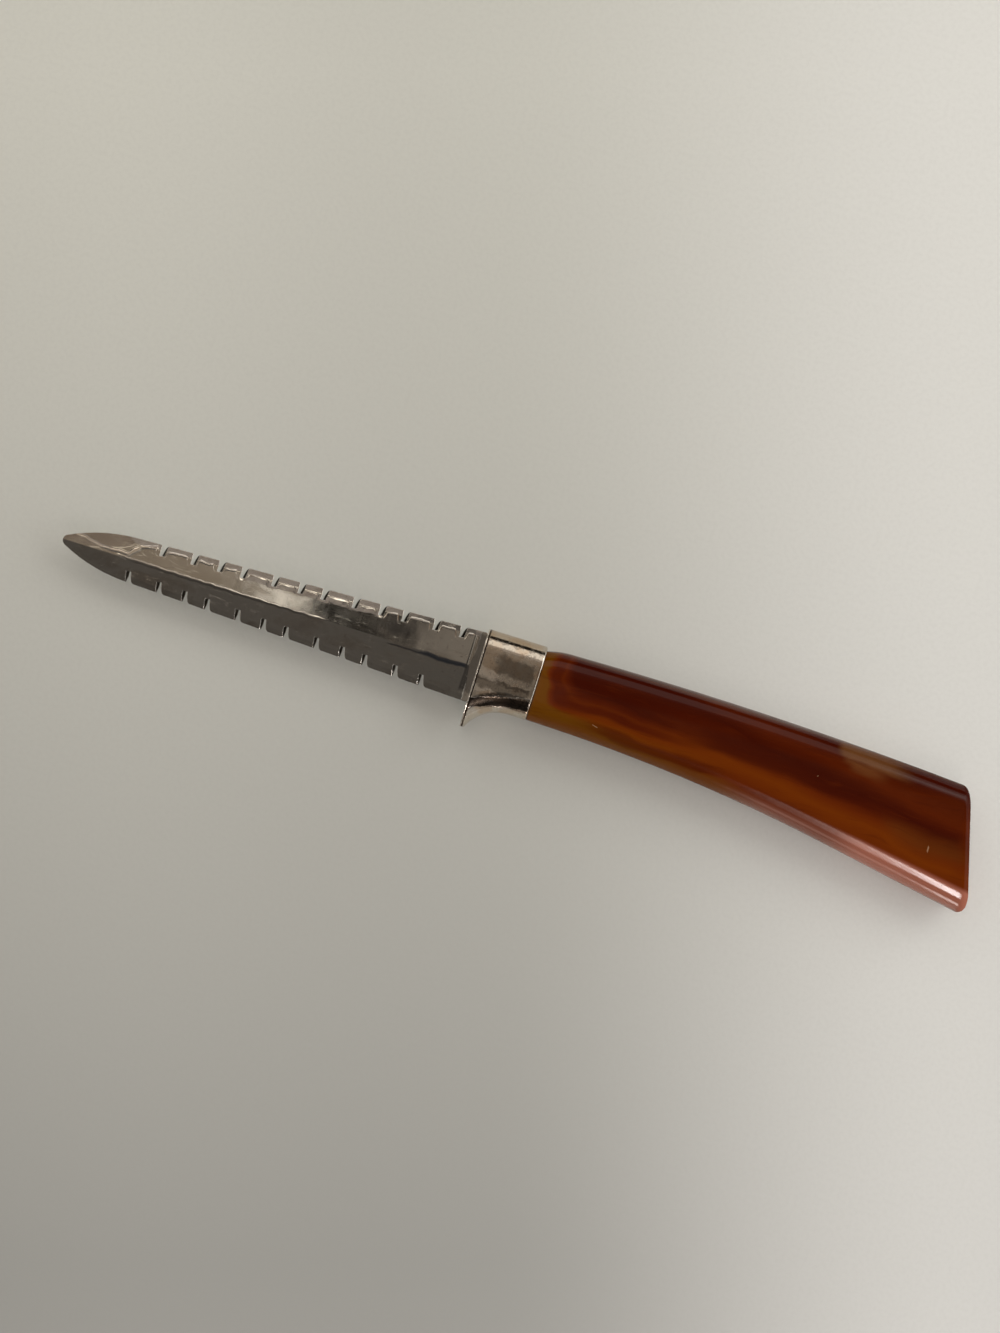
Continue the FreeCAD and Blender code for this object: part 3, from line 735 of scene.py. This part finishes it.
def handleResin():
    material, tree, shader = newMaterial("handleResin")
    place = millimetres(tree)
    drift = addNode(tree, "ShaderNodeTexNoise", {
        "Vector": stretched(tree, place, handleLook["driftStretch"]),
        **handleLook["drift"]}).outputs["Color"]
    centred = vectorMaths(tree, "SUBTRACT", drift, (noiseMiddle,) * 3)
    flow = vectorMaths(tree, "MULTIPLY_ADD", centred, handleLook["driftReach"], place)
    parts = axes(tree, flow)
    behind = maths(tree, "SUBTRACT", parts["X"], pour["front"])
    foot = maths(tree, "MULTIPLY_ADD", behind, -pour["fall"], pour["foot"])
    above = maths(tree, "SUBTRACT", parts["Y"], foot)
    depth = maths(tree, "SMOOTH_MIN", behind, above, pour["corner"])
    near = resinRamp(tree, depth, pour["depths"])
    along = maths(tree, "SUBTRACT", parts["X"], belly["start"])
    bottom = maths(tree, "MULTIPLY_ADD", along, -belly["fall"], belly["height"])
    far = resinRamp(tree, maths(tree, "SUBTRACT", parts["Y"], bottom), belly["heights"])
    colour = mixColour(tree, smoothStep(tree, parts["X"], *handleLook["blend"]), near, far)
    colour = addBands(tree, flow, colour, resinBands)
    wisps = noise(tree, stretched(tree, flow, handleLook["wispStretch"]),
                  *handleLook["wisps"])
    for step, tint in (("wispLight", "rust"), ("wispDark", "maroon")):
        colour = mixColour(tree, smoothStep(tree, wisps, *handleLook[step]), colour,
                           resin[tint])
    # The edge bands paint light along both edges of the handle
    colour = addBands(tree, place, colour, lowerEdgeSheen + upperEdgeLight + handleNicks)
    tree.links.new(colour, shader.inputs["Base Color"])

    hairs = placeGroup(tree, effects["scratches"], {
        "Vector": place, **handleLook["hairs"]})["Mask"]
    smears = noise(tree, place, *handleLook["smears"])
    rough = smoothStep(tree, smears, *handleLook["smearRough"])
    rough = maths(tree, "MULTIPLY_ADD", hairs, handleLook["hairRough"], rough)
    tree.links.new(rough, shader.inputs["Roughness"])
    shader.inputs["Specular IOR Level"].default_value = 0.0

    spot = axes(tree, place)
    end = maths(tree, "MULTIPLY_ADD", spot["Y"], -handleLook["buttSlant"],
                handleLook["buttAt"])
    atButt = smoothStep(tree, maths(tree, "SUBTRACT", end, spot["X"]),
                        *handleLook["buttStep"])
    dulled = maths(tree, "MAXIMUM",
                   maths(tree, "MULTIPLY", bandMask(tree, place, dullBands),
                         handleLook["worn"]),
                   maths(tree, "MULTIPLY", atButt, handleLook["wornButt"]))
    tree.links.new(maths(tree, "SUBTRACT", 1.0, dulled), shader.inputs["Coat Weight"])
    shader.inputs["Coat Roughness"].default_value = handleLook["coatRough"]

    waves = noise(tree, place, *handleLook["waves"])
    swell = bump(tree, waves, handleLook["waveHeight"], roundedNormal(tree, handleLook))
    scratched = bump(tree, hairs, handleLook["hairDepth"], swell, invert=True)
    tree.links.new(scratched, shader.inputs["Normal"])
    tree.links.new(swell, shader.inputs["Coat Normal"])
    return material


# Table, lamps and room

table = {
    "size": 3.0,
    "fade": (1150.0, 520.0),     # between these distances it melts into the backdrop
    # its colour at the bottom and at the top of the picture: left, middle and right, darker at
    # the bottom and in the middle as painted shadow and lighter to the right as painted light
    "left": ((0.418, 0.430, 0.412, 1), (0.815, 0.840, 0.788, 1)),
    "middle": ((0.388, 0.399, 0.382, 1), (0.740, 0.762, 0.715, 1)),
    "right": ((0.690, 0.710, 0.695, 1), (0.880, 0.905, 0.885, 1)),
    "upwards": (-140.0, 160.0),  # where those two lie, in millimetres
    "leftStep": (-20.0, -110.0),
    "rightStep": (-10.0, 115.0),
    "grain": (0.9, 4.0),
    "grainShade": (0.35, 0.75, 0.0, 0.06),
    "grainRough": (0.3, 0.7, 0.5, 0.65),
    "grainHeight": 0.00006,
    "grainStrength": 0.4,
    "shine": 0.2,
}

# Lamps and the lit cards that the steel and the gloss reflect
# name: x, y and height of the centre, width, depth, radiance, colour, aimed at the knife
lamps = {
    "window": (0.280, -0.37, 0.60, 0.080, 0.36, 21.0, (1.0, 0.95, 0.93), False),
    "windowSide": (0.224, -0.37, 0.60, 0.030, 0.36, 7.5, (1.0, 0.88, 0.84), False),
    "windowLow": (0.232, -0.90, 0.15, 0.060, 0.24, 8.5, (1.0, 0.88, 0.82), True),
    "sheen": (0.188, -0.42, 0.61, 0.040, 0.46, 2.6, (1.0, 0.75, 0.66), False),
    "sheenFar": (0.152, -0.42, 0.61, 0.034, 0.46, 0.9, (1.0, 0.78, 0.70), False),
    "horizon": (0.145, -0.90, 0.20, 0.10, 0.26, 1.2, (1.0, 0.74, 0.62), True),
    "wall": (0.0, 0.855, 0.69, 2.4, 0.67, 1.0, (1.0, 0.93, 0.84), True),
    "wallLeft": (-0.60, 0.42, 0.75, 1.02, 0.24, 0.36, (1.0, 0.86, 0.76), False),
    "wallDark": (-0.06, 0.42, 0.75, 0.06, 0.24, 0.08, (1.0, 0.90, 0.82), False),
    "wallBolster": (0.0, 0.42, 0.75, 0.06, 0.24, 0.40, (1.0, 0.86, 0.76), False),
    "wallRight": (0.57, 0.43, 0.75, 1.08, 0.22, 0.21, (1.0, 0.80, 0.64), False),
    "wallFoot": (0.57, 0.30, 0.75, 1.08, 0.04, 0.15, (1.0, 0.80, 0.64), False),
    "side": (0.60, 0.28, 0.35, 0.9, 0.55, 1.5, (1.0, 0.99, 0.96), True),
    "tipCard": (-0.42, 0.06, 0.75, 0.46, 0.11, 0.27, (1.0, 0.80, 0.60), False),
    "tipHigh": (-0.42, 0.26, 0.75, 0.46, 0.20, 0.22, (1.0, 0.76, 0.58), False),
    "tipStrip": (-0.166, 0.075, 0.75, 0.030, 0.16, 1.15, (1.0, 0.92, 0.80), False),
    "ridgeStrip": (-0.30, 0.012, 0.75, 0.24, 0.024, 1.1, (1.0, 0.92, 0.82), False),
    "rimStrip": (-0.185, 0.190, 0.75, 0.130, 0.15, 2.4, (1.0, 0.90, 0.76), False),
    "rimEnd": (-0.090, 0.190, 0.75, 0.060, 0.15, 0.65, (1.0, 0.90, 0.76), False),
    "tipRim": (-0.30, 0.130, 0.75, 0.09, 0.04, 3.0, (1.0, 0.88, 0.72), False),
    "leftStrip": (-0.54, 0.10, 0.75, 0.12, 0.50, 2.0, (1.0, 0.94, 0.84), False),
    "strip": (-0.01, -0.28, 0.75, 0.05, 0.010, 0.6, (1.0, 0.92, 0.84), False),
    "overhead": (0.215, 0.165, 0.75, 0.37, 0.30, 0.20, (1.0, 0.58, 0.30), False),
    "overBolster": (-0.02, 0.1425, 0.75, 0.10, 0.345, 0.22, (1.0, 0.86, 0.72), False),
    "above": (-0.31, -0.18, 0.75, 0.66, 0.36, 0.085, (1.0, 0.90, 0.80), False),
}

# The narrow window would throw hard shadows, so it throws none
softLamps = ("window",)

room = {
    "ceiling": (0.022, 0.019, 0.016, 1),
    "walls": (0.42, 0.40, 0.37, 1),
    "backdrop": (0.66, 0.65, 0.61, 1),
    # sines of the heights where the dark ceiling starts and the lit walls end
    "wallStep": (0.66, 0.42),
    "doorway": (0.34, 0.62),     # the room is lit at its two ends, and dark between them
    "hall": (0.15, 0.137, 0.122, 1),         # less so on the side of the windows
    "hallSide": (-0.1, -0.5),
}


def makeTable():
    mesh = bmesh.new()
    bmesh.ops.create_grid(mesh, x_segments=1, y_segments=1, size=table["size"] / 2)
    data = bpy.data.meshes.new("table")
    mesh.to_mesh(data)
    mesh.free()
    top = bpy.data.objects.new("table", data)
    bpy.context.collection.objects.link(top)
    material, tree, shader = newMaterial("tableTop")
    place = millimetres(tree)
    grain = noise(tree, place, *table["grain"])
    parts = axes(tree, stretched(tree, place, (1, 1, 1), -view["turn"]))
    # The table's colour carries painted shadow and light: darker towards the bottom and the
    # middle, lighter to the right
    low, high = table["upwards"]
    upwards = addNode(tree, "ShaderNodeMapRange", {
        "Value": parts["Y"], "From Min": low, "From Max": high}).outputs[0]
    left, middle, right = (mixColour(tree, upwards, *table[name])
                           for name in ("left", "middle", "right"))
    colour = mixColour(tree, smoothStep(tree, parts["X"], *table["leftStep"]), middle, left)
    colour = mixColour(tree, smoothStep(tree, parts["X"], *table["rightStep"]), colour, right)
    colour = mixColour(tree, smoothStep(tree, grain, *table["grainShade"]), colour,
                       table["middle"][0])
    tree.links.new(colour, shader.inputs["Base Color"])
    tree.links.new(smoothStep(tree, grain, *table["grainRough"]), shader.inputs["Roughness"])
    shader.inputs["Specular IOR Level"].default_value = table["shine"]
    normal = bump(tree, grain, table["grainHeight"], strength=table["grainStrength"])
    tree.links.new(normal, shader.inputs["Normal"])
    away = addNode(tree, "ShaderNodeVectorMath", {0: place}, operation="LENGTH").outputs[1]
    tree.links.new(smoothStep(tree, away, *table["fade"]), shader.inputs["Alpha"])
    data.materials.append(material)


def makeLamps():
    target = Vector((*view["centre"], 0))
    for name, (x, y, high, width, depth, radiance, colour, aimed) in lamps.items():
        data = bpy.data.lights.new(name, "AREA")
        data.shape = "RECTANGLE"
        data.size = width
        data.size_y = depth
        data.energy = radiance * math.pi * width * depth
        data.color = colour
        lamp = bpy.data.objects.new(name, data)
        lamp.location = (x, y, high)
        aim = target - lamp.location
        if aimed:
            lamp.rotation_euler = aim.to_track_quat("-Z", "Y").to_euler()
        lamp.visible_camera = False
        data.use_shadow = name not in softLamps
        bpy.context.collection.objects.link(lamp)


def makeRoom():
    world = bpy.data.worlds.new("room")
    bpy.context.scene.world = world
    world.use_nodes = True
    tree = world.node_tree
    tree.nodes.clear()
    seen = addNode(tree, "ShaderNodeLightPath")
    towards = axes(tree, addNode(tree, "ShaderNodeTexCoord").outputs["Generated"])
    low = smoothStep(tree, towards["Z"], *room["wallStep"])
    hall = maths(tree, "MULTIPLY", low, smoothStep(tree, towards["Y"], *room["hallSide"]))
    dark = mixColour(tree, hall, room["ceiling"], room["hall"])
    ends = maths(tree, "MULTIPLY", low, smoothStep(
        tree, maths(tree, "ABSOLUTE", towards["X"]), *room["doorway"]))
    around = mixColour(tree, ends, dark, room["walls"])
    shade = addNode(tree, "ShaderNodeBackground", {"Color": around})
    backdrop = addNode(tree, "ShaderNodeBackground", {"Color": room["backdrop"]})
    mix = addNode(tree, "ShaderNodeMixShader", {0: seen.outputs["Is Camera Ray"]})
    tree.links.new(shade.outputs[0], mix.inputs[1])
    tree.links.new(backdrop.outputs[0], mix.inputs[2])
    output = addNode(tree, "ShaderNodeOutputWorld")
    tree.links.new(mix.outputs[0], output.inputs["Surface"])


makeCamera()
useMaterial("blade", bladeSteel())
useMaterial("bolster", bolsterPlate())
useMaterial("handle", handleResin())
print("materials set on the three pieces")
makeTable()
makeLamps()
makeRoom()
print("table, room and", len(lamps), "lamps set")
